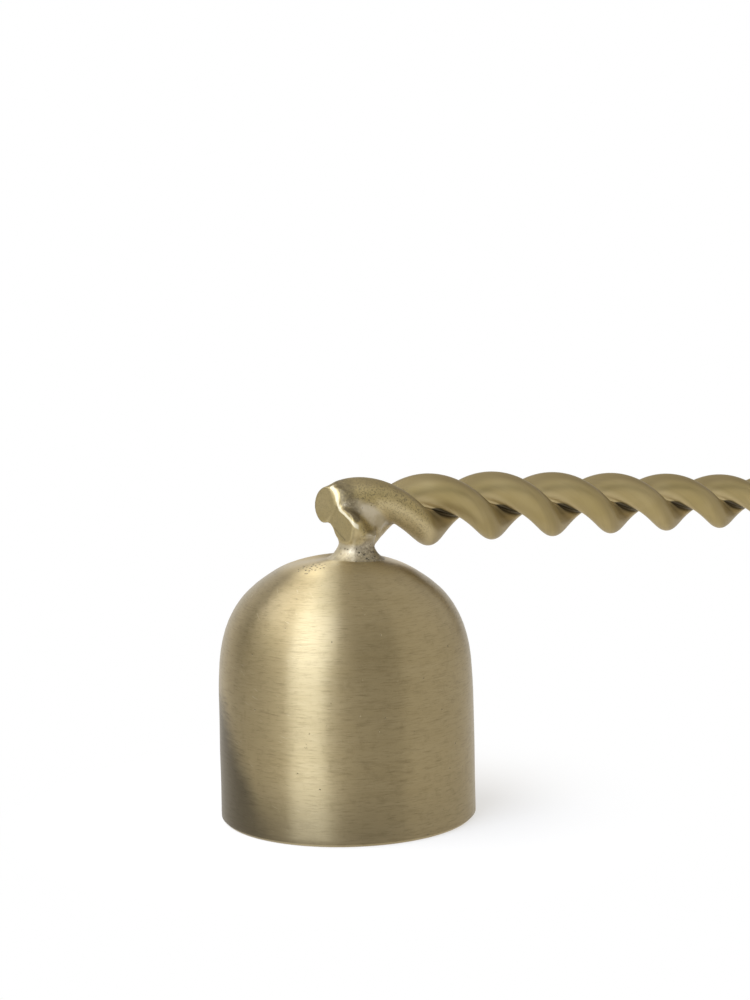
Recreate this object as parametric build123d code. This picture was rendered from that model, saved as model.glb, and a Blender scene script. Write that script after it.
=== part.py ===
from build123d import *
from math import atan2, cos, degrees, floor, hypot, pi, radians, sin, sqrt
import os

# A brass candle snuffer: a dome-topped bell, and a handle of two twisted rods brazed to its crown.
# Millimetres. The origin is the centre of the bell's mouth, +Z is up and the handle runs along +X.

# Bell
mouth_radius = 20.0
spring_radius = 19.7
spring_height = 23.9
shoulder_inset = 2.5
crown_radius = 30.4
wall = 3.6
crown_thickness = 5.2
rim_bevel = 0.5
lip_round = 0.8

# Twisted handle, measured along its own axis from the bell's axis
handle_length = 150.0
handle_overhang = 0.8
seat_droop_angle = 2.6
bend_start = 18.0
bend_radius = 400.0
droop_angle = 5.4
strand_radius = 3.0
tip_strand_radius = 2.0
strand_clearance = 0.02
twist_pitch = 28.4
sections_per_turn = 12
end_round = 0.8
end_step_count = 3

# Braze
seat_offset = 4.1
seat_gap = 0.15
neck_radius = 2.55
neck_offset = 1.65
neck_shift = 1.4
flare_radius = 2.6
flare_bite = 0.05
web_clearance = 0.02
front_web_length = 10.5
back_web_length = 6.5
tip_web_length = 7.0
web_section_count = 9
web_root_share = 0.25
front_web_share = 0.82
back_web_share = 0.55
tip_web_share = 0.6
web_runout_share = 0.3
web_hollow_share = 0.3


def dome_section(mouth, spring, height, shoulder, crown):
    """Half section of a domed plug: drafted wall, shoulder arc and crown arc, each tangent to the next."""
    draft = atan2(mouth - spring, height)
    shoulder_x = spring - shoulder * cos(draft)
    shoulder_z = height - shoulder * sin(draft)
    crown_z = shoulder_z - sqrt((crown - shoulder) ** 2 - shoulder_x**2)
    turn = atan2(shoulder_z - crown_z, shoulder_x)
    top = crown_z + crown
    wall_line = Line((mouth, 0), (spring, height))
    shoulder_arc = CenterArc((shoulder_x, shoulder_z), shoulder, degrees(draft), degrees(turn - draft))
    crown_arc = CenterArc((0, crown_z), crown, degrees(turn), degrees(pi / 2 - turn))
    axis_line = Polyline((0, top), (0, 0), (mouth, 0))
    return make_face([wall_line, shoulder_arc, crown_arc, axis_line]), top


def domed_plug(*sizes):
    section, top = dome_section(*sizes)
    return revolve(Plane.XZ * section, Axis.Z), top


shoulder_radius = spring_radius - shoulder_inset
outer_sizes = (mouth_radius, spring_radius, spring_height, shoulder_radius, crown_radius)
outer_plug, crown_height = domed_plug(*outer_sizes)
crown_centre_height = crown_height - crown_radius


def crown_height_at(distance):
    """Height of the crown's surface at a distance from the bell's axis."""
    return crown_centre_height + sqrt(crown_radius**2 - distance**2)


def make_bell():
    """Turned cup of even wall, thicker at the crown, with a bevelled outer rim and a rounded inner lip."""
    hollow, _ = domed_plug(
        mouth_radius - wall,
        spring_radius - wall,
        spring_height - (crown_thickness - wall),
        shoulder_radius - wall,
        crown_radius - wall,
    )
    shell = outer_plug - hollow
    rim = shell.edges().group_by(Axis.Z)[0].sort_by(SortBy.RADIUS)[-1]
    bevelled = chamfer(rim, rim_bevel)
    lip = bevelled.edges().group_by(Axis.Z)[0].sort_by(SortBy.RADIUS)[0]
    return fillet(lip, lip_round)


def strand_radius_at(station):
    taper = (tip_strand_radius - strand_radius) / handle_length
    return strand_radius + taper * station


def twist_at(station):
    """Turn of the lower strand about the handle's axis: half a turn from the top where it meets the seat."""
    return 180 + 360 * (station - seat_offset) / twist_pitch


def strand_offset_at(station):
    return strand_radius_at(station) + strand_clearance / 2


def bend_drop(station):
    """How far the handle's axis has run and fallen, and its slope, at a station along it."""
    first = radians(seat_droop_angle)
    bent = min(max(station - bend_start, 0), bend_radius * (radians(droop_angle) - first))
    slope = first + bent / bend_radius
    before = min(station, bend_start)
    after = station - before - bent
    along = before * cos(first) + bend_radius * (sin(slope) - sin(first)) + after * cos(slope)
    drop = before * sin(first) + bend_radius * (cos(first) - cos(slope)) + after * sin(slope)
    return along, drop, slope


lowest_reach = strand_offset_at(seat_offset) + strand_radius_at(seat_offset)
handle_height = crown_height_at(seat_offset) + seat_gap + lowest_reach + bend_drop(seat_offset)[1]


def handle_plane(station):
    """Plane square to the handle's axis, its x upwards and its z along the handle."""
    along, drop, slope = bend_drop(station)
    origin = (along, 0, handle_height - drop)
    return Plane(origin, x_dir=(sin(slope), 0, cos(slope)), z_dir=(cos(slope), 0, -sin(slope)))


def spread(start, end, count):
    return [start + (end - start) * index / count for index in range(count + 1)]


def strand_section(station, half_turn, inset=0):
    angle = radians(twist_at(station) + half_turn)
    offset = strand_offset_at(station)
    place = handle_plane(station) * Pos(offset * cos(angle), offset * sin(angle))
    return place * Circle(strand_radius_at(station) - inset)


def make_strand(half_turn):
    """Tapered rod that winds about the handle's axis, with rounded cut ends."""
    start = -handle_overhang + end_round
    stop = handle_length - end_round
    count = floor((stop - start) / twist_pitch * sections_per_turn)
    rod = loft([strand_section(station, half_turn) for station in spread(start, stop, count)])
    for shoulder, outward in ((start, -1), (stop, 1)):
        steps = []
        for turn in spread(0, pi / 2, end_step_count):
            station = shoulder + outward * end_round * sin(turn)
            steps.append(strand_section(station, half_turn, end_round * (1 - cos(turn))))
        rod += loft(steps, ruled=True)
    return rod


def web_section(station, side, root_share, depth_share):
    """Section of braze in the groove between the strands, between a root depth and a hollow outer face."""
    radius = strand_radius_at(station)
    centre = strand_offset_at(station)
    reach = radius + web_clearance

    def on_strand(share):
        depth = share * radius
        return centre - sqrt(reach**2 - depth**2), side * depth

    root_x, root_y = on_strand(root_share)
    mid_x, mid_y = on_strand((root_share + depth_share) / 2)
    face_x, face_y = on_strand(depth_share)
    hollow_y = face_y - side * web_hollow_share * face_x
    outline = [
        ThreePointArc((root_x, root_y), (mid_x, mid_y), (face_x, face_y)),
        ThreePointArc((face_x, face_y), (0, hollow_y), (-face_x, face_y)),
        ThreePointArc((-face_x, face_y), (-mid_x, mid_y), (-root_x, root_y)),
        Line((-root_x, root_y), (root_x, root_y)),
    ]
    return handle_plane(station) * Rot(0, 0, twist_at(station)) * make_face(outline)


def make_web(start, end, side, depth_share):
    """Braze run into a strand groove, full at its start and thinning out towards its end."""
    sections = []
    for station in spread(start, end, web_section_count):
        way = (station - start) / (end - start)
        full = depth_share - web_root_share
        share = web_root_share + full * (1 - (1 - web_runout_share) * way**2)
        sections.append(web_section(station, side, web_root_share, share))
    return loft(sections)


def make_crown_braze(bell, strands):
    """Braze neck under the lower strand, square on the crown and flared out to its foot."""
    flare_x = neck_radius + flare_radius
    to_crown = crown_radius + flare_radius - flare_bite
    flare_z = sqrt(to_crown**2 - flare_x**2)
    flare = CenterArc((flare_x, flare_z), flare_radius, 180, degrees(atan2(flare_z, flare_x)))
    foot = flare.position_at(1)
    top = crown_radius + seat_gap + strand_radius_at(seat_offset)
    core = Polyline(foot, (0, foot.Y), (0, top), (neck_radius, top), flare.position_at(0))
    neck = revolve(Plane.XZ * make_face([flare, core]), Axis.Z)
    rise = crown_height_at(hypot(neck_offset, neck_shift)) - crown_centre_height
    stand = Plane((0, 0, crown_centre_height), z_dir=(neck_offset, -neck_shift, rise))
    return stand * neck - bell - strands


bell = make_bell()
strand_lower = make_strand(0)
strand_upper = make_strand(180)
near_end = -handle_overhang + end_round / 2
far_end = handle_length - end_round / 2
parts = {
    "bell": bell,
    "strand_lower": strand_lower,
    "strand_upper": strand_upper,
    "crown_braze": make_crown_braze(bell, [strand_lower, strand_upper]),
    "groove_braze_front": make_web(near_end, near_end + front_web_length, -1, front_web_share),
    "groove_braze_back": make_web(near_end, near_end + back_web_length, 1, back_web_share),
    "tip_braze": Compound(
        [make_web(far_end, far_end - tip_web_length, side, tip_web_share).solid() for side in (-1, 1)]
    ),
}

os.makedirs("parts", exist_ok=True)
for name, shape in parts.items():
    shape.label = name
    export_step(shape, f"parts/{name}.step")
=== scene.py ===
from math import atan2, cos, pi, radians, sin, sqrt

import bmesh
import bpy
from mathutils import Matrix, Vector, noise


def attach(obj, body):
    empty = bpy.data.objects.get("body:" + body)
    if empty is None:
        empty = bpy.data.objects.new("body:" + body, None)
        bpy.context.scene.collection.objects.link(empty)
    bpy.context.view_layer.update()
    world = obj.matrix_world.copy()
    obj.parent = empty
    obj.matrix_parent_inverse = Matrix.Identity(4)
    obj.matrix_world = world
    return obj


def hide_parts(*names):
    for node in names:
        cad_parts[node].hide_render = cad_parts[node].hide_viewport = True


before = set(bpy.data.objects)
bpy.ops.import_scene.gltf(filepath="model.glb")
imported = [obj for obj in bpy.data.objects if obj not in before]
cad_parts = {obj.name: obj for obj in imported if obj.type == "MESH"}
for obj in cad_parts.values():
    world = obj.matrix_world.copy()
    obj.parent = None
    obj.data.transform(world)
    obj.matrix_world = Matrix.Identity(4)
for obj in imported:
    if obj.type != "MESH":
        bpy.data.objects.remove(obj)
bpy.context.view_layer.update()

mm = 0.001
# the side turned away from the key lamp
shadeSide = (0.755, -0.655, 0)
print("frame loaded:", ", ".join(sorted(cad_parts)))


# a socket that can be used in sums: each operator adds a Math node
class Wire:
    def __init__(self, finish, socket):
        self.finish = finish
        self.socket = socket

    def calc(self, operation, *values):
        sockets = dict(enumerate((self,) + values))
        return self.finish.add("ShaderNodeMath", {"operation": operation}, sockets)

    def __add__(self, other):
        return self.calc("ADD", other)

    def __mul__(self, other):
        return self.calc("MULTIPLY", other)

    def __sub__(self, other):
        return self.calc("SUBTRACT", other)

    def __truediv__(self, other):
        return self.calc("DIVIDE", other)

    def __pow__(self, other):
        return self.calc("POWER", other)

    def __rsub__(self, other):
        return self.finish.add("ShaderNodeMath", {"operation": "SUBTRACT"}, {0: other, 1: self})

    def __rtruediv__(self, other):
        return self.finish.add("ShaderNodeMath", {"operation": "DIVIDE"}, {0: other, 1: self})

    __radd__ = __add__
    __rmul__ = __mul__

    # 0 below low, 1 above high, eased between them
    def rise(self, low, high):
        settings = {"interpolation_type": "SMOOTHSTEP"}
        return self.finish.add("ShaderNodeMapRange", settings, {"Value": self, "From Min": low, "From Max": high})


# a material or world under construction
class Finish:
    def __init__(self, owner):
        owner.use_nodes = True
        self.owner = owner
        self.tree = owner.node_tree
        self.tree.nodes.clear()

    # settings are set first, then the sockets take numbers, colours or wires
    def add(self, kind, settings=None, sockets=None, out=0):
        node = self.tree.nodes.new(kind)
        for name, value in (settings or {}).items():
            setattr(node, name, value)
        for name, value in (sockets or {}).items():
            if isinstance(value, Wire):
                self.tree.links.new(value.socket, node.inputs[name])
            else:
                node.inputs[name].default_value = value
        return Wire(self, node.outputs[out]) if len(node.outputs) else node

    def blend(self, factor, first, second, how="MIX"):
        settings = {"data_type": "RGBA", "blend_type": how, "clamp_factor": True}
        return self.add("ShaderNodeMix", settings, {0: factor, 6: first, 7: second}, out=2)

    def noise(self, vector, scale, detail=3.0, roughness=0.55):
        sockets = {"Vector": vector, "Scale": scale, "Detail": detail, "Roughness": roughness}
        return self.add("ShaderNodeTexNoise", None, sockets)

    def specks(self, vector, scale):
        return self.add("ShaderNodeTexVoronoi", {"feature": "F1"}, {"Vector": vector, "Scale": scale})

    # object coordinates in millimetres, whole and as x, y and z
    def place(self):
        coordinates = self.add("ShaderNodeTexCoord", None, None, out=3)
        millimetres = self.add("ShaderNodeVectorMath", {"operation": "SCALE"}, {0: coordinates, "Scale": 1 / mm})
        return millimetres, self.split(millimetres)

    def split(self, vector):
        parts = self.add("ShaderNodeSeparateXYZ", None, {0: vector})
        return [Wire(self, socket) for socket in parts.socket.node.outputs]

    def vector(self, x, y, z):
        return self.add("ShaderNodeCombineXYZ", None, {0: x, 1: y, 2: z})

    def attribute(self, name, out):
        return self.add("ShaderNodeAttribute", {"attribute_name": name}, None, out=out)

    def dot(self, vector, way):
        return self.add("ShaderNodeVectorMath", {"operation": "DOT_PRODUCT"}, {0: vector, 1: tuple(way)}, out=1)

    # how squarely the piece's own surface faces a direction
    def facing(self, way):
        return self.dot(self.add("ShaderNodeTexCoord", None, None, out=1), way)

    def metal(self, look, colour, roughness, height, metallic=None):
        bump = self.add("ShaderNodeBump", None, {"Height": height, "Distance": 1.0, "Strength": 1.0})
        sockets = {
            "Base Color": colour,
            "Metallic": metallic or look["metallic"],
            "Roughness": roughness,
            "Specular Tint": look["edge"],
            "Anisotropic": look["anisotropy"],
            "Anisotropic Rotation": 0.25,
            "Coat Weight": look["lacquer"],
            "Coat Roughness": 0.26,
            "Coat IOR": 1.65,
            "Normal": bump,
        }
        shader = self.add("ShaderNodeBsdfPrincipled", None, sockets)
        self.add("ShaderNodeOutputMaterial", None, {"Surface": shader})
        return self.owner


def newFinish(name):
    return Finish(bpy.data.materials.new(name))


# turned bell: brush strokes round its axis, a painted dark reflection low on one side, and a scatter of pits
bellFinish = {
    "brass": (0.336, 0.263, 0.135, 1),
    "worn": (0.39, 0.314, 0.178, 1),
    "stroke": (0.215, 0.164, 0.078, 1),
    "scratch": (0.42, 0.35, 0.21, 1),
    "paintedLight": (0.6, 0.48, 0.26, 1),
    "darkReflection": (0.07, 0.056, 0.033, 1),
    "pit": (0.06, 0.05, 0.032, 1),
    "edge": (0.95, 0.92, 0.86, 1),
    "metallic": 1.0,
    "roughness": 0.43,
    "anisotropy": 0.94,
    "lacquer": 0.12,
    "strokeDepth": 0.04 * mm,
    "darkReflectionTurn": radians(144),
    "slantTurn": radians(160),
    "slant": radians(24),
    "pitsAt": (-6.8, -0.9, 40.3),
}


def makeBellBrass():
    look = bellFinish
    finish = newFinish("bellBrass")
    spot, (x, y, z) = finish.place()
    radius = (x * x + y * y) ** 0.5 + 0.01
    along = z - radius
    roundX, roundY = x / radius, y / radius

    def strokes(length, width, detail):
        around = 20.0 / length
        return finish.noise(finish.vector(roundX * around, roundY * around, along / width), 1.0, detail, 0.62)

    fine = strokes(2.0, 0.2, 4.0)
    marks = strokes(4.0, 0.55, 3.0)
    broad = strokes(8.0, 1.6, 3.0)
    cloud = finish.noise(spot, 0.085, 3.0)
    mottle = finish.noise(spot, 0.5, 4.0, 0.7)
    colour = finish.blend((broad - 0.35) * 0.8, look["brass"], look["worn"])
    colour = finish.blend((marks - 0.5).rise(0.0, 0.22) * 0.35, colour, look["stroke"])
    colour = finish.blend((fine - 0.5).rise(0.0, 0.26) * 0.65, colour, look["stroke"])
    colour = finish.blend((mottle - 0.48).rise(0.0, 0.3) * 0.4, colour, look["stroke"])

    across = Vector((-sin(look["slantTurn"]), cos(look["slantTurn"]), 0))
    tilted = across * sin(look["slant"]) + Vector((0, 0, cos(look["slant"])))
    level = across * cos(look["slant"]) - Vector((0, 0, sin(look["slant"])))
    down, over = finish.dot(spot, tilted), finish.dot(spot, level)
    facing = roundX * cos(look["slantTurn"]) + roundY * sin(look["slantTurn"])
    slanted = finish.noise(finish.vector(over * 0.3, down * 3.2, 0.0), 1.0, 2.0, 0.6)
    scratches = (slanted - 0.66).rise(0.0, 0.07) * facing.rise(0.45, 0.8)
    colour = finish.blend(scratches * 0.6, colour, look["scratch"])

    # painted dark reflection low on one side, its edge climbing with height; darker towards the rim on that side too
    turned = roundX * cos(look["darkReflectionTurn"]) + roundY * sin(look["darkReflectionTurn"])
    edge = turned - 0.66 - z * 0.0168 + (cloud - 0.5) * 0.16 + (marks - 0.5) * 0.08
    darkReflection = edge.rise(-0.08, 0.08)
    rimmed = (12.0 - z).rise(0.0, 12.0) * (turned * 0.5 + 0.5) * 0.8
    colour = finish.blend(darkReflection * 0.78 + rimmed * (1 - darkReflection), colour, look["darkReflection"])

    # painted highlight: the rim's bevel lightened into a bright line
    bare = (0.5 - z).rise(0.0, 0.15)
    colour = finish.blend(bare * 0.45, colour, look["paintedLight"])

    # painted light: the crown lightened under the handle against its shade, and on its side towards the key lamp
    litUnderHandle = (z - 34.5).rise(0.0, 4.0) * (x - 3.0).rise(0.0, 5.0) * (8.0 - radius + x * 0.5).rise(0.0, 3.0)
    crownLitSide = (z - 38.6).rise(0.0, 1.4) * (-1.5 - finish.dot(spot, shadeSide)).rise(0.0, 3.5)
    colour = finish.blend((litUnderHandle + crownLitSide) * 0.7, colour, look["paintedLight"])

    patch = finish.add("ShaderNodeVectorMath", {"operation": "DISTANCE"}, {0: spot, 1: look["pitsAt"]}, out=1)
    crown = (3.6 - patch).rise(0.0, 2.0)
    cells = finish.specks(spot, 1.7)
    scatter = finish.noise(spot, 0.7, 3.0)
    pits = (crown * 0.08 + 0.26 - cells).rise(0.0, 0.1) * (scatter + crown * 0.3 - 0.64).rise(0.0, 0.08)
    colour = finish.blend(pits * 0.85, colour, look["pit"])
    roughness = look["roughness"] + (fine - 0.5) * 0.14 + darkReflection * 0.08 + (cloud - 0.5) * 0.1
    height = fine * 0.3 + marks * 0.6 + broad * 0.5 + mottle * 0.2 - scratches * 0.2 - pits * 2.0
    return finish.metal(look, colour, roughness, height * look["strokeDepth"])


# drawn rod: die lines along it, grained near the bell, painted shade on its tops and in the groove, painted light
# below
rodFinish = {
    "brass": (0.345, 0.262, 0.104, 1),
    "pale": (0.40, 0.31, 0.143, 1),
    "line": (0.235, 0.18, 0.085, 1),
    "grain": (0.15, 0.115, 0.056, 1),
    "groove": (0.03, 0.022, 0.01, 1),
    "paintedFillLight": (0.62, 0.5, 0.27, 1),
    "paintedDarkShade": (0.085, 0.063, 0.03, 1),
    "paintedShade": (0.145, 0.106, 0.046, 1),
    "speck": (0.07, 0.054, 0.028, 1),
    "edge": (0.75, 0.68, 0.55, 1),
    "metallic": 0.75,
    "roughness": 0.42,
    "anisotropy": 0.0,
    "lacquer": 0.1,
    "grainDepth": 0.012 * mm,
}


def rodLayer(finish, lines):
    look = rodFinish
    spot, axes = finish.place()
    x = axes[0]
    nearBell = (15.5 - x).rise(0.0, 3.5) * ((x + 0.3).rise(0.0, 0.9) + (-0.85 - x).rise(0.0, 0.1) * 0.4 + 0.06)
    grain = finish.noise(spot, 3.6, 3.0, 0.7)
    cloud = finish.noise(spot, 0.16, 2.0)
    colour = finish.blend(cloud.rise(0.35, 0.7) * 0.7, look["brass"], look["pale"])
    colour = finish.blend((lines - 0.45).rise(0.0, 0.3) * 0.25, colour, look["line"])
    # painted shade: darker on the tops and, away from the bell, on the side turned from the key lamp
    upward = finish.facing((0, 0, 1))
    colour = finish.blend((upward - 0.25).rise(0.0, 0.5) * 0.68, colour, look["paintedShade"])
    shaded = finish.facing(shadeSide) * (x - 12.0).rise(0.0, 5.0)
    colour = finish.blend((shaded - 0.05).rise(0.0, 0.6) * 0.4, colour, look["paintedShade"])
    # painted light: the underside near the bell paler and less metallic
    under = (0.1 - upward).rise(0.0, 0.45) * (17.0 - x).rise(0.0, 4.0)
    colour = finish.blend(under * 0.6, colour, look["paintedFillLight"])
    colour = finish.blend((grain - 0.46).rise(0.0, 0.2) * nearBell * (0.85 - under * 0.35), colour, look["grain"])
    cells = finish.specks(spot, 2.4)
    specks = (0.17 - cells).rise(0.0, 0.08) * (finish.noise(spot, 1.1, 2.0) - 0.5).rise(0.0, 0.12) * nearBell
    colour = finish.blend(specks * 0.9, colour, look["speck"])
    roughness = look["roughness"] + nearBell * 0.06 + (lines - 0.5) * 0.12 + (cloud - 0.5) * 0.1
    height = lines * 0.35 + grain * (nearBell * 1.2 + 0.15) - specks * 4.0
    return colour, roughness, height * look["grainDepth"], look["metallic"] - under * 0.25


def makeRodBrass():
    finish = newFinish("rodBrass")
    lines = finish.noise(finish.attribute("wrap", 1), 1.0, 4.0, 0.6)
    colour, roughness, height, metallic = rodLayer(finish, lines)
    # painted light in the groove, and painted shade where the groove turns downwards
    groove = finish.attribute("groove", 2)
    colour = finish.blend((groove + 1.1).rise(0.0, 0.9) * 0.55, colour, rodFinish["paintedFillLight"])
    colour = finish.blend(finish.attribute("grooveShade", 2).rise(0.0, 0.5) * 0.9, colour, rodFinish["groove"])
    return finish.metal(rodFinish, colour, roughness, height, metallic)


# braze: paler, lumpy, pitted towards its foot, with painted shade on the foot's side away from the key lamp
brazeFinish = {
    "brass": (0.36, 0.29, 0.165, 1),
    "pale": (0.46, 0.385, 0.255, 1),
    "grain": (0.17, 0.13, 0.075, 1),
    "pit": (0.05, 0.04, 0.024, 1),
    "paintedFootShade": (0.13, 0.1, 0.055, 1),
    "edgeHighlight": (0.6, 0.52, 0.34, 1),
    "face": (0.2, 0.155, 0.075, 1),
    "edge": (0.75, 0.7, 0.6, 1),
    "metallic": 0.8,
    "roughness": 0.36,
    "anisotropy": 0.0,
    "lacquer": 0.1,
    "grainDepth": 0.02 * mm,
}


def brazeLayer(finish):
    look = brazeFinish
    spot, (x, y, z) = finish.place()
    grain = finish.noise(spot, 2.6, 3.0, 0.65)
    cloud = finish.noise(spot, 0.45, 2.0)
    foot = (44.2 - z).rise(0.0, 2.4)
    colour = finish.blend(cloud.rise(0.35, 0.65), look["brass"], look["pale"])
    colour = finish.blend((grain - 0.5).rise(0.0, 0.22) * (foot * 0.6 + 0.15), colour, look["grain"])
    # painted shade: the foot darker, and more pitted, on its side turned from the key lamp
    shaded = foot * (finish.dot(spot, shadeSide) - 1.6).rise(0.0, 0.6) * (-0.4 - y).rise(0.0, 1.5)
    colour = finish.blend(shaded * (grain - 0.2).rise(0.0, 0.4) * 0.75, colour, look["paintedFootShade"])
    cells = finish.specks(spot, 1.9)
    scatter = finish.noise(spot, 0.9, 2.0) + foot * 0.1 + shaded * 0.16
    pits = (shaded * 0.08 + 0.24 - cells).rise(0.0, 0.1) * (scatter - 0.58).rise(0.0, 0.1)
    colour = finish.blend(pits, colour, look["pit"])
    roughness = look["roughness"] + (cloud - 0.5) * 0.2 + foot * 0.08
    height = grain * (foot * 0.7 + 0.2) + cloud - pits * 5.0
    return colour, roughness, height * look["grainDepth"]


def makeBraze():
    finish = newFinish("braze")
    return finish.metal(brazeFinish, *brazeLayer(finish))


# braze that has run thinly over the rod ends: rod where it is a skin, braze where it fills a hollow,
# with a painted highlight along the edge of the cut face, and painted shade beyond it and along a crease
def makeFilledBraze():
    finish = newFinish("filledBraze")
    look = brazeFinish
    fill = finish.attribute("fill", 2)
    spot, axes = finish.place()
    y = axes[1]
    beyond, run, up = finish.split(finish.attribute("end", 1))
    rodColour, rodRoughness, rodHeight, metallic = rodLayer(finish, finish.noise(spot, 1.3, 3.0))
    colour, roughness, height = brazeLayer(finish)
    colour = finish.blend(fill, rodColour, colour)
    ragged = finish.noise(spot, 1.2, 3.0) - 0.5
    # painted shade beyond the edge highlight
    shadeMottle = (finish.noise(spot, 3.0, 3.0, 0.7) - 0.3).rise(0.0, 0.3)
    paintedDarkShade = (beyond + ragged * 0.3 - 0.3).rise(0.0, 0.2) * (3.4 - run - ragged).rise(0.0, 1.8)
    paintedDarkShade = paintedDarkShade * (up + 4.4).rise(0.0, 1.2)
    colour = finish.blend(paintedDarkShade * (shadeMottle * 0.4 + 0.5), colour, rodFinish["paintedDarkShade"])
    face = (-0.25 - beyond).rise(0.0, 0.2) * (0.5 - run).rise(0.0, 0.3)
    colour = finish.blend(face * (ragged * 0.5 + 0.4), colour, look["face"])
    # painted shade along a crease on the cut face
    crease = (y * -0.525 + up * 0.851 + 1.79 + ragged * 0.3).calc("ABSOLUTE")
    crease = face * (0.2 - crease).rise(0.0, 0.2) * (0.9 - y).rise(0.0, 0.6) * (y + 2.5).rise(0.0, 0.6)
    colour = finish.blend(crease * 0.5, colour, rodFinish["paintedDarkShade"])
    # painted highlight along the edge of the cut face, made less metallic
    edgeHighlight = (0.3 - beyond.calc("ABSOLUTE") + ragged * 0.08).rise(0.0, 0.16) * (1.0 - run).rise(0.0, 0.4)
    edgeHighlight = edgeHighlight * (1 - (-1.9 - up).rise(0.0, 0.9) * 0.55)
    colour = finish.blend(edgeHighlight, colour, look["edgeHighlight"])
    metallic = metallic + (0.45 - metallic) * fill
    metallic = metallic * (1 - edgeHighlight * 0.85)
    roughness = rodRoughness + (roughness - rodRoughness) * fill
    height = rodHeight + (height - rodHeight) * fill
    return finish.metal(look, colour, roughness, height, metallic)


bellBrass = makeBellBrass()
rodBrass = makeRodBrass()
braze = makeBraze()
filledBraze = makeFilledBraze()
print("finishes made:", bellBrass.name, rodBrass.name, braze.name, filledBraze.name)


def newPiece(name, points, faces, material, node=None):
    mesh = bpy.data.meshes.new(name)
    mesh.from_pydata([Vector(point) * mm for point in points], [], faces)
    mesh.materials.append(material)
    mesh.shade_smooth()
    piece = bpy.data.objects.new(name, mesh)
    bpy.context.scene.collection.objects.link(piece)
    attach(piece, "root")
    if node:
        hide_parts(*node)
    return piece


# a closed skin through rings of points, with a pole at each end
def ringFaces(ringCount, around, closedEnds=True):
    faces = []
    for ring in range(ringCount - 1):
        for step in range(around):
            nextStep = (step + 1) % around
            a, b = ring * around, (ring + 1) * around
            faces.append((a + step, a + nextStep, b + nextStep, b + step))
    if closedEnds:
        firstPole, lastPole = ringCount * around, ringCount * around + 1
        last = (ringCount - 1) * around
        for step in range(around):
            nextStep = (step + 1) % around
            faces.append((firstPole, nextStep, step))
            faces.append((lastPole, last + step, last + nextStep))
    return faces


# sizes of the bell in millimetres, how finely it is divided, and how far its hand-turned outside is from true
bell = {
    "mouthRadius": 19.985,
    "springRadius": 19.87,
    "springHeight": 23.5,
    "shoulderInset": 2.37,
    "crownRadius": 31.26,
    "wall": 3.6,
    "crownThickness": 5.2,
    "rimBevel": 0.5,
    "lipRound": 0.8,
    "around": 300,
    "crownSteps": 20,
    "shoulderSteps": 56,
    "wallSteps": 30,
    "wave": 0.05,
    "dent": {"place": Vector((-3.0, 2.6)), "reach": 6.5, "depth": 0.4},
    "turning": (
        (41.2, 0), (39.4, -0.06), (37.9, -0.12), (36.5, 0), (34.8, 0.12), (33.4, 0.1), (31.8, 0.03), (30.2, -0.05),
        (28.8, -0.13), (27.2, -0.19), (25.7, -0.22), (24.1, -0.2), (22.7, -0.12), (21.1, -0.04), (19.5, 0), (0, 0),
    ),
}


def arcPoints(centre, radius, start, end, count):
    turns = [start + (end - start) * step / count for step in range(count + 1)]
    return [(centre[0] + radius * cos(turn), centre[1] + radius * sin(turn)) for turn in turns]


# crown, shoulder and wall of one side of the bell, from the crown down; also gives the crown's height
def domeProfile(mouth, spring, height, shoulder, crown, foot):
    draft = atan2(mouth - spring, height)
    shoulderX = spring - shoulder * cos(draft)
    shoulderZ = height - shoulder * sin(draft)
    crownZ = shoulderZ - sqrt((crown - shoulder) ** 2 - shoulderX**2)
    turn = atan2(shoulderZ - crownZ, shoulderX)
    points = arcPoints((0, crownZ), crown, pi / 2, turn, bell["crownSteps"])[1:]
    points += arcPoints((shoulderX, shoulderZ), shoulder, turn, draft, bell["shoulderSteps"])[1:]
    wallSteps = bell["wallSteps"]
    for step in range(1, wallSteps + 1):
        z = height + (foot - height) * step / wallSteps
        points.append((mouth + (spring - mouth) * z / height, z))
    return points, crownZ + crown


def bellProfile(size):
    shoulder = size["springRadius"] - size["shoulderInset"]
    wall = size["wall"]
    outer, outerTop = domeProfile(
        size["mouthRadius"], size["springRadius"], size["springHeight"], shoulder, size["crownRadius"],
        size["rimBevel"],
    )
    inner, innerTop = domeProfile(
        size["mouthRadius"] - wall, size["springRadius"] - wall,
        size["springHeight"] - (size["crownThickness"] - wall), shoulder - wall, size["crownRadius"] - wall,
        size["lipRound"],
    )
    rimRadius = size["mouthRadius"] - size["rimBevel"]
    lipRadius = size["mouthRadius"] - wall + size["lipRound"]
    rim = [(rimRadius + size["rimBevel"] * share, size["rimBevel"] * share) for share in (0.93, 0.5, 0.07)]
    rim += [(rimRadius - 0.12, 0), ((rimRadius + lipRadius) / 2, 0), (lipRadius + 0.12, 0)]
    lip = arcPoints((lipRadius, size["lipRound"]), size["lipRound"], -pi / 2, -pi, 5)[:-1]
    return outer + rim + lip + inner[::-1], outerTop, innerTop


# how far the outside is from true at a height
def turningAt(z):
    marks = bell["turning"]
    for (top, above), (bottom, below) in zip(marks, marks[1:]):
        if bottom <= z <= top:
            share = (z - bottom) / (top - bottom)
            return below + (above - below) * share**2 * (3 - 2 * share)
    return 0.0


# how far the crown is pressed in beside the handle
def dentAt(spot):
    dent = bell["dent"]
    share = 1 - ((spot.xy - dent["place"]).length / dent["reach"]) ** 2
    return dent["depth"] * max(share, 0) ** 2 if spot.z > 38 else 0.0


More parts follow.
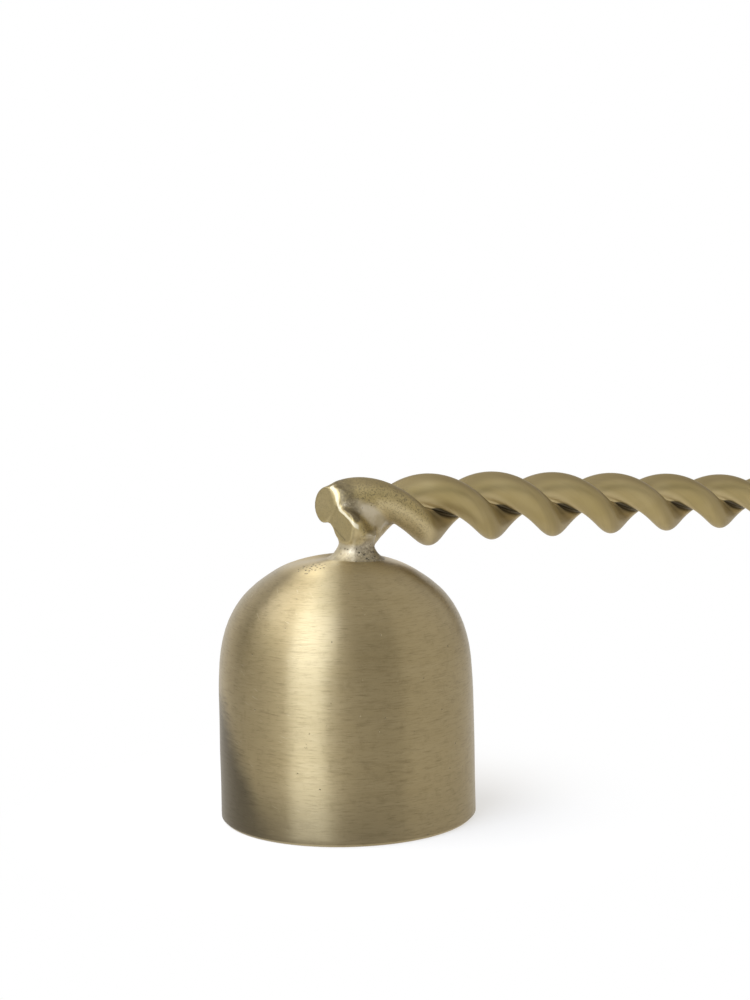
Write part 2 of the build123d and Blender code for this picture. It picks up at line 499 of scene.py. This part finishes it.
def makeBell():
    around = bell["around"]
    profile, outerTop, innerTop = bellProfile(bell)
    points = []
    for radius, z in profile:
        true = radius + turningAt(z) * min(radius / 9, 1)
        for step in range(around):
            turn = 2 * pi * step / around
            spot = Vector((radius * cos(turn), radius * sin(turn), z))
            swell = noise.noise(spot * 0.13) * bell["wave"] * min(z / 6, 1) * min(radius / 9, 1)
            out = min(true + swell, bell["mouthRadius"])
            points.append((out * cos(turn), out * sin(turn), z - dentAt(spot)))
    points += [(0, 0, outerTop - dentAt(Vector((0, 0, outerTop)))), (0, 0, innerTop)]
    piece = newPiece("bell_skin", points, ringFaces(len(profile), around), bellBrass, ["bell"])
    print("bell:", len(points), "points, crown at", round(outerTop, 2), "mm")
    return outerTop


crownHeight = makeBell()
crownCentre = crownHeight - bell["crownRadius"]

# the twisted handle, in millimetres along its own axis from the bell's axis
handle = {
    "length": 149.99,
    "overhang": 1.1,
    "seatDroop": radians(2.6),
    "bendStart": 18.0,
    "bendRadius": 400.0,
    "droop": radians(5.4),
    "radius": 2.995,
    "tipRadius": 1.998,
    "pitch": 28.4,
    "nearRound": 2.2,
    "endRound": 0.8,
    "grooveRound": 0.55,
    "lowerSet": Vector((0, 0.75, 0.3)),
    "upperSet": Vector((0, -0.26, 0.22)),
    "setTo": 6.0,
    "seatOffset": 4.1,
    "seatGap": 0.15,
    "clearance": 0.005,
    "grooveShade": {"from": 0.4, "over": 0.65, "gain": 1.45, "loss": 1.1},
    "around": 96,
    "stationGap": 0.28,
    "skin": 0.3,
    "skinStart": 7.0,
    "skinEnd": 11.5,
}


def rodRadius(station):
    return handle["radius"] + (handle["tipRadius"] - handle["radius"]) * station / handle["length"]


def rodTwist(station):
    return pi + 2 * pi * (station - handle["seatOffset"]) / handle["pitch"]


def crownAt(distance):
    return crownCentre + sqrt(bell["crownRadius"] ** 2 - distance**2)


# how far the handle's axis has run and fallen, and its slope
def handleFall(station):
    first = handle["seatDroop"]
    bendRadius = handle["bendRadius"]
    bent = min(max(station - handle["bendStart"], 0), bendRadius * (handle["droop"] - first))
    slope = first + bent / bendRadius
    before = min(station, handle["bendStart"])
    after = station - before - bent
    along = before * cos(first) + bendRadius * (sin(slope) - sin(first)) + after * cos(slope)
    drop = before * sin(first) + bendRadius * (cos(first) - cos(slope)) + after * sin(slope)
    return along, drop, slope


# 0 where the rods lie under a skin of braze, 1 where they are bare
def bareShare(station):
    share = (station - handle["skinStart"]) / (handle["skinEnd"] - handle["skinStart"])
    return min(max(share, 0), 1)


handleHeight = crownAt(handle["seatOffset"]) + handle["seatGap"] + 2 * rodRadius(handle["seatOffset"])
handleHeight += handleFall(handle["seatOffset"])[1] + 2 * handle["clearance"]


# a point in the plane square to the handle: out from its axis at an angle from the top, and further round
def handlePoint(station, angle, out, across=0.0):
    along, drop, slope = handleFall(station)
    up = out * cos(angle) - across * sin(angle)
    side = out * sin(angle) + across * cos(angle)
    return Vector((along + up * sin(slope), -side, handleHeight - drop + up * cos(slope)))


# rings of one rod: (station, inset) with its ends rounded over and filled in
def rodRings(start, end, nearRound, farRound):
    turns = [pi / 2 * step / 6 for step in range(7)]
    fills = [0.3, 0.6, 0.85]
    near = [(start, share) for share in fills]
    near += [(start + nearRound * (1 - sin(t)), -nearRound * (1 - cos(t))) for t in turns[::-1]]
    far = [(end - farRound * (1 - sin(t)), -farRound * (1 - cos(t))) for t in turns]
    far += [(end, share) for share in fills[::-1]]
    first, last = start + nearRound, end - farRound
    count = round((last - first) / handle["stationGap"])
    body = [(first + (last - first) * step / count, 0.0) for step in range(1, count)]
    return near + body + far


def ease(share):
    share = min(max(share, 0), 1)
    return share**2 * (3 - 2 * share)


# how far a rod's end is set out of the true twist
def setOver(station, halfTurn):
    share = ease((handle["setTo"] - station) / (handle["setTo"] + handle["overhang"]))
    return handle["upperSet" if halfTurn else "lowerSet"] * share


def rodPoint(station, halfTurn, turn, ring):
    out = rodRadius(station) + handle["clearance"]
    spot = handlePoint(station, rodTwist(station) + halfTurn, out + ring * cos(turn), ring * sin(turn))
    return spot + setOver(station, halfTurn)


rodTurns = [2 * pi * step / handle["around"] for step in range(handle["around"])]


# section of a bare rod with the groove to its neighbour rounded out; also how deep in the groove a point lies
def groovedPoint(station, halfTurn, turn):
    radius, fillet = rodRadius(station), handle["grooveRound"]
    out = radius + handle["clearance"]
    reach = sqrt((radius + fillet) ** 2 - out**2)
    share = abs(turn - pi) / atan2(reach, out)
    if share >= 1:
        return rodPoint(station, halfTurn, turn, radius), max(1 - share, -1)
    swing = atan2(out, reach) * max(2 * share - 1, 0)
    across = reach - fillet * cos(swing) if share > 0.5 else (reach - fillet) * 2 * share
    across *= 1 if turn < pi else -1
    spot = handlePoint(station, rodTwist(station) + halfTurn, max(fillet * sin(swing), 0.004), across)
    return spot + setOver(station, halfTurn), min(2 - 2 * share, 1)


# a groove's painted shade: more where the groove, which faces away from the rod's own side, turns downwards
def grooveShadeAt(station, halfTurn, turn, groove):
    grooveShade = handle["grooveShade"]
    side = rodTwist(station) + halfTurn + (pi / 2 if turn < pi else -pi / 2)
    return groove + grooveShade["gain"] * ease((grooveShade["from"] - cos(side)) / grooveShade["over"]) - grooveShade["loss"]


def makeRod(name, node, halfTurn):
    around = handle["around"]
    points, wraps, grooves, grooveShades = [], [], [], []
    start = handle["skin"] - handle["overhang"]
    rings = rodRings(start, handle["length"], handle["nearRound"], handle["endRound"])
    for station, inset in rings:
        bare = rodRadius(station) - 0.15 * (1 - min(2 * bareShare(station), 1))
        rounding = handle["nearRound"] if station < handle["setTo"] else handle["endRound"]
        ring = (bare - rounding) * inset if inset > 0 else bare + inset
        grooved = inset == 0 and bareShare(station) > 0.5
        for turn in rodTurns:
            spot, groove = groovedPoint(station, halfTurn, turn) if grooved else (None, -1.0)
            grooveShades.append(grooveShadeAt(station, halfTurn, turn, groove))
            points.append(spot or rodPoint(station, halfTurn, turn, ring))
            wraps.append((cos(turn) * 4.0, sin(turn) * 4.0, station * 0.09))
            grooves.append(groove)
    for station in (start, handle["length"]):
        points.append(rodPoint(station, halfTurn, 0.0, 0.0))
        wraps.append((0.0, 0.0, station * 0.09))
        grooves.append(-1.0)
        grooveShades.append(-1.0)
    piece = newPiece(name, points, ringFaces(len(rings), around), rodBrass, [node])
    wrap = piece.data.attributes.new("wrap", "FLOAT_VECTOR", "POINT")
    wrap.data.foreach_set("vector", [value for vector in wraps for value in vector])
    for label, values in (("groove", grooves), ("grooveShade", grooveShades)):
        depths = piece.data.attributes.new(label, "FLOAT", "POINT")
        depths.data.foreach_set("value", values)
    print(name + ":", len(points), "points")


makeRod("rod_lower", "strand_lower", 0.0)
makeRod("rod_upper", "strand_upper", pi)

# braze at the bell: rod ends, groove fills and foot joined and softened into one lump
joint = {
    "neckX": 1.5,
    "neckY": -1.35,
    "neckRadius": 2.65,
    "neckHead": ((3.05, 3.7), (2.95, 3.2), (2.75, 2.7)),
    "flareRadius": 2.6,
    "footSink": 0.12,
    "reach": 12.0,
    "skin": -0.05,
    "sink": 0.15,
    "frontDepths": (0.9, 0.99, 0.99, 0.88, 0.4),
    "backDepths": (0.72, 0.7, 0.6, 0.45, 0.25),
    "hollow": 0.05,
    "lowerLip": {"way": Vector((0, -0.85, 0.53)), "lip": 1.5, "run": 2.4},
    "upperLip": {"way": Vector((0, -0.98, -0.2)), "lip": 1.45, "run": 1.7},
    "webLip": {"lip": 1.7, "run": 2.3},
    "backLip": 0.2,
    # the line of the painted edge highlight across the rod ends, across and up from the handle's axis
    "edgeHighlightLine": (
        (1.73, 4.53), (0.96, 3.97), (0.54, 3.38), (0.25, 2.52), (-0.18, 1.75), (-0.87, 1.11), (-1.98, 0.59),
        (-3.07, -0.02), (-3.9, -0.74), (-4.52, -1.47), (-4.63, -2.17), (-4.35, -2.77), (-3.75, -3.41), (-3.36, -4.16),
    ),
    "fillet": 0.9 * mm,
    "frontLength": 10.5,
    "backLength": 6.5,
    "voxel": 0.1 * mm,
    "softening": 14,
    "fillFrom": 0.03,
    "fillOver": 0.4,
}


def addRings(work, rings):
    around = len(rings[0])
    first = sum(rings[0], Vector()) / around
    last = sum(rings[-1], Vector()) / around
    spots = [point for ring in rings for point in ring] + [first, last]
    verts = [work.verts.new(spot * mm) for spot in spots]
    for face in ringFaces(len(rings), around):
        work.faces.new([verts[index] for index in face])


# how far in and how far along a rod's cut end is rounded over, on the side that a direction points to
def lipAt(way, front):
    share = ease(way.dot(front["way"]) + 0.3)
    back = joint["backLip"]
    return back + (front["lip"] - back) * share, back + (front["run"] - back) * share


# a rod end with a skin of braze that sinks into the rod towards its far end
def addRodEnd(work, halfTurn):
    start = -handle["overhang"]
    middle = rodPoint(start, halfTurn, 0.0, 0.0)
    front = joint["upperLip" if halfTurn else "lowerLip"]
    lips = [lipAt(rodPoint(start, halfTurn, turn, 1.0) - middle, front) for turn in rodTurns]
    edges = [(turn, lip, run) for turn, (lip, run) in zip(rodTurns, lips)]
    thick = rodRadius(start) + joint["skin"]
    rings = []
    for share in (0.3, 0.7):
        rings.append([rodPoint(start, halfTurn, turn, (thick - lip) * share) for turn, lip, run in edges])
    for bend in [pi / 2 * step / 16 for step in range(16, -1, -1)]:
        rings.append([
            rodPoint(start + run * (1 - sin(bend)), halfTurn, turn, thick - lip * (1 - cos(bend)))
            for turn, lip, run in edges
        ])
    first = start + front["run"]
    steps = 40
    for station in [first + (joint["reach"] - first) * step / steps for step in range(1, steps + 1)]:
        sunk = max(2 * bareShare(station) - 1, 0)
        thick = rodRadius(station) + joint["skin"] - (joint["skin"] + joint["sink"]) * sunk
        rings.append([rodPoint(station, halfTurn, turn, thick) for turn in rodTurns])
    addRings(work, rings)


# braze run into a groove: its depth there as a share of the rod's radius, at even steps along it
def addWeb(work, side, depths, length, lip, lipRun):
    rings = []
    steps = 60
    for step in range(steps + 1):
        way = step / steps * (len(depths) - 1)
        below = min(int(way), len(depths) - 2)
        depth = depths[below] + (depths[below + 1] - depths[below]) * (way - below)
        run = length * step / steps
        station = run - handle["overhang"]
        radius = rodRadius(station)
        reach = radius * depth
        reach -= lip - lip * sqrt(1 - max(1 - run / lipRun, 0) ** 2)
        half = min(radius - sqrt(max(radius**2 - reach**2, 0)) + 0.2, 2.6)
        corners = [
            (half, 0.3), (half, reach), (0.0, reach - joint["hollow"] * half), (-half, reach), (-half, 0.3),
        ]
        angle = rodTwist(station)
        ring = []
        for out, across in corners:
            shift = setOver(station, pi).lerp(setOver(station, 0), 0.5 + 0.5 * out / half)
            ring.append(handlePoint(station, angle, out, side * across) + shift)
        rings.append(ring)
    addRings(work, rings)


# a neck that stands square on the crown and flares out along it to its foot
def addNeck(work):
    spot = Vector((joint["neckX"], joint["neckY"], crownAt(sqrt(joint["neckX"] ** 2 + joint["neckY"] ** 2))))
    turn = (spot - Vector((0, 0, crownCentre))).to_track_quat("Z", "X").to_matrix()
    flare = joint["flareRadius"]
    profile = list(joint["neckHead"])
    profile += arcPoints((joint["neckRadius"] + flare, flare - joint["footSink"]), flare, pi, 1.48 * pi, 30)
    profile += [(profile[-1][0], -1.0)]
    rings = []
    for radius, height in profile:
        fall = radius**2 / (2 * bell["crownRadius"])
        turns = [2 * pi * index / 72 for index in range(72)]
        ring = [spot + turn @ Vector((radius * cos(t), radius * sin(t), height - fall)) for t in turns]
        flush = 0.05 - handle["overhang"]
        low = 1 - min(max(height, 0) / 1.3, 1)
        ring = [p - Vector((0, 0, dentAt(Vector((p.x, p.y, crownHeight))) * low)) for p in ring]
        rings.append([Vector((max(p.x, flush), p.y, p.z)) if height > 1.3 else p for p in ring])
    addRings(work, rings)


# how far a point stands out of the nearer rod
def outOfRods(point):
    station = point.x
    angle = rodTwist(station)
    radius = rodRadius(station)
    centres = [
        handlePoint(station, angle + halfTurn, radius) + setOver(station, halfTurn) for halfTurn in (0.0, pi)
    ]
    return min((point - centre).length for centre in centres) - radius


# along the handle, and up across it, at the bell
endAxis = Vector((cos(handle["seatDroop"]), 0, -sin(handle["seatDroop"])))
endUp = Vector((sin(handle["seatDroop"]), 0, cos(handle["seatDroop"])))


# how far a point lies beyond the painted edge highlight of the rod ends, behind their cut face, and above the
# handle's axis
def fromEdgeHighlight(point):
    offset = point - handlePoint(-handle["overhang"], 0.0, 0.0)
    run, spot = offset.dot(endAxis), Vector((offset.y, offset.dot(endUp)))
    if run > 5:
        return 3.0, run, spot.y
    marks = [Vector(mark) for mark in joint["edgeHighlightLine"]]
    nearest, beyond = 9.0, 3.0
    for start, end in zip(marks, marks[1:]):
        way = end - start
        share = min(max((spot - start).dot(way) / way.length_squared, 0), 1)
        gap = spot - start - way * share
        if gap.length < nearest:
            nearest = gap.length
            beyond = nearest if gap.x * way.y - gap.y * way.x > 0 else -nearest
    return beyond, run, spot.y


def makeJoint():
    work = bmesh.new()
    addRodEnd(work, 0.0)
    addRodEnd(work, pi)
    addWeb(work, -1, joint["frontDepths"], joint["frontLength"], joint["webLip"]["lip"], joint["webLip"]["run"])
    addWeb(work, 1, joint["backDepths"], joint["backLength"], joint["backLip"], joint["backLip"])
    addNeck(work)
    bmesh.ops.recalc_face_normals(work, faces=work.faces)
    rough = bpy.data.meshes.new("joint_rough")
    work.to_mesh(rough)
    work.free()
    maker = bpy.data.objects.new("joint_rough", rough)
    bpy.context.scene.collection.objects.link(maker)
    for swell in (joint["fillet"], -joint["fillet"]):
        remesh = maker.modifiers.new("lump", "REMESH")
        remesh.mode = "VOXEL"
        remesh.voxel_size = joint["voxel"]
        grow = maker.modifiers.new("grow", "DISPLACE")
        grow.mid_level = 0.0
        grow.strength = swell
    soften = maker.modifiers.new("soften", "SMOOTH")
    soften.factor = 0.5
    soften.iterations = joint["softening"]
    mesh = bpy.data.meshes.new_from_object(maker.evaluated_get(bpy.context.evaluated_depsgraph_get()))
    bpy.data.objects.remove(maker)
    points = [vertex.co / mm for vertex in mesh.vertices]
    piece = newPiece(
        "joint_braze", points, [tuple(face.vertices) for face in mesh.polygons], filledBraze,
        ["crown_braze", "groove_braze_front", "groove_braze_back"],
    )
    end = piece.data.attributes.new("end", "FLOAT_VECTOR", "POINT")
    end.data.foreach_set("vector", [value for point in points for value in fromEdgeHighlight(point)])
    fill = piece.data.attributes.new("fill", "FLOAT", "POINT")
    shares = [(outOfRods(point) - joint["fillFrom"]) / joint["fillOver"] for point in points]
    fill.data.foreach_set("value", [min(max(share, 0), 1) for share in shares])
    print("joint braze:", len(points), "points")


makeJoint()
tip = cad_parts["tip_braze"].data.materials
tip.clear()
tip.append(braze)


# the photograph's viewpoint: a turn and tilt about the bell, and its distance
shot = {
    "place": Vector((-237.2, -281.2, 100.2)),
    "turn": radians(-40.95),
    "tilt": radians(82.17),
    "roll": radians(-1.2),
    "lens": 86.4,
}


def makeCamera():
    camera = bpy.data.cameras.new("camera")
    camera.lens = shot["lens"]
    camera.sensor_width = 36.0
    camera.clip_start = 10 * mm
    holder = bpy.data.objects.new("camera", camera)
    aim = Matrix.Rotation(shot["turn"], 4, "Z") @ Matrix.Rotation(shot["tilt"], 4, "X")
    holder.matrix_world = Matrix.Translation(shot["place"] * mm) @ aim @ Matrix.Rotation(shot["roll"], 4, "Z")
    bpy.context.scene.collection.objects.link(holder)
    bpy.context.scene.camera = holder


# picture axes on the floor: right, towards the camera, and up
pictureRight = Vector((cos(shot["turn"]), sin(shot["turn"]), 0))
pictureNear = Vector((sin(shot["turn"]), -cos(shot["turn"]), 0))


def inPicture(right, near, up):
    return pictureRight * right + pictureNear * near + Vector((0, 0, up))


# lamp places are metres right of, nearer than and above the bell
studio = {
    "floorSize": 6.0,
    "floorWhite": (0.95, 0.9, 0.82, 1),
    "floorGlow": 0.6,
    "glowFrom": 0.018,
    "glowTo": 0.055,
    "lampAim": Vector((0, 0, 0.03)),
    "worldFill": 0.5,
    "darkSides": {
        "right": {"turn": radians(36), "from": 0.66, "to": 0.98, "depth": 0.67, "cut": radians(53), "top": 0.7},
        "leftBack": {"turn": radians(-98), "from": 0.76, "to": 0.97, "depth": 0.66, "cut": None, "top": 0.62},
        "rightBack": {"turn": radians(134), "from": 0.72, "to": 0.96, "depth": 0.72, "cut": None, "top": 0.22},
    },
    "lamps": {
        "keySoftbox": {
            "place": (-0.298, 0.426, 0.36), "size": (0.38, 0.8), "watts": 4.4, "colour": (0.85, 0.98, 1.26),
        },
        "overheadSoftbox": {
            "place": (-0.52, -0.04, 0.7), "size": (0.8, 0.5), "watts": 4.3, "colour": (0.94, 0.99, 1.08),
        },
    },
}


# an upright softbox that faces the bell
def makeLamp(name, lamp):
    light = bpy.data.lights.new(name, "AREA")
    light.shape = "RECTANGLE"
    light.size, light.size_y = lamp["size"]
    light.energy = lamp["watts"]
    light.color = lamp["colour"]
    place = inPicture(*lamp["place"])
    back = (place - studio["lampAim"]).normalized()
    across = Vector((0, 0, 1)).cross(back).normalized()
    turn = Matrix((across, back.cross(across), back)).transposed().to_4x4()
    holder = bpy.data.objects.new(name, light)
    holder.matrix_world = Matrix.Translation(place) @ turn
    bpy.context.scene.collection.objects.link(holder)


# 1 for rays that show the background itself: seen directly, mirrored or through glass
def showsBackground(finish):
    path = finish.add("ShaderNodeLightPath").socket.node
    camera, glossy, passing = (
        Wire(finish, path.outputs[name]) for name in ("Is Camera Ray", "Is Glossy Ray", "Is Transmission Ray")
    )
    return (camera + glossy + passing).calc("MINIMUM", 1.0)


def makeFloor():
    finish = newFinish("floorPaper")
    paper = finish.add("ShaderNodeBsdfDiffuse", None, {"Color": studio["floorWhite"]})
    glow = finish.add("ShaderNodeEmission", None, {"Color": (1, 1, 1, 1), "Strength": 1.0})
    coordinates = finish.add("ShaderNodeTexCoord", None, None, out=3)
    distance = finish.add("ShaderNodeVectorMath", {"operation": "LENGTH"}, {0: coordinates}, out=1)
    far = distance.rise(studio["glowFrom"], studio["glowTo"])
    factor = showsBackground(finish) * (far * (1 - studio["floorGlow"]) + studio["floorGlow"])
    mixed = finish.add("ShaderNodeMixShader", None, {0: factor, 1: paper, 2: glow})
    finish.add("ShaderNodeOutputMaterial", None, {"Surface": mixed})
    half = studio["floorSize"] / 2
    mesh = bpy.data.meshes.new("floor")
    mesh.from_pydata([(-half, -half, 0), (half, -half, 0), (half, half, 0), (-half, half, 0)], [], [(0, 1, 2, 3)])
    mesh.materials.append(finish.owner)
    floor = bpy.data.objects.new("floor", mesh)
    bpy.context.scene.collection.objects.link(floor)


# white where it is seen, with an unlit side of the studio in reflections, and a weaker fill
def makeWorld():
    world = bpy.data.worlds.new("studio")
    bpy.context.scene.world = world
    finish = Finish(world)
    path = finish.add("ShaderNodeLightPath").socket.node
    glossy = Wire(finish, path.outputs["Is Glossy Ray"])
    direction = finish.add("ShaderNodeTexCoord", None, None, out=0)
    level = finish.add("ShaderNodeVectorMath", {"operation": "MULTIPLY"}, {0: direction, 1: (1, 1, 0)})
    level = finish.add("ShaderNodeVectorMath", {"operation": "NORMALIZE"}, {0: level})
    height = finish.split(direction)[2]

    def towards(way, turn):
        middle = tuple(inPicture(sin(turn), cos(turn), 0.0))
        return finish.dot(way, middle)

    dark = 0.0
    for side in studio["darkSides"].values():
        low = (side["top"] - height).rise(0.0, 0.25) * side["depth"]
        shade = towards(level, side["turn"]).rise(side["from"], side["to"]) * low
        if side["cut"]:
            shade = shade * towards(level, side["cut"] - pi / 2).rise(-0.04, 0.05)
        dark = shade + dark
    fill = studio["worldFill"]
    strength = showsBackground(finish) * (1 - fill) + fill - dark * glossy
    back = finish.add("ShaderNodeBackground", None, {"Color": (1, 1, 1, 1), "Strength": strength})
    finish.add("ShaderNodeOutputWorld", None, {"Surface": back})


makeCamera()
makeFloor()
makeWorld()
for lampName, lampSizes in studio["lamps"].items():
    makeLamp(lampName, lampSizes)
bpy.context.scene.view_settings.view_transform = "Standard"
print("studio made")
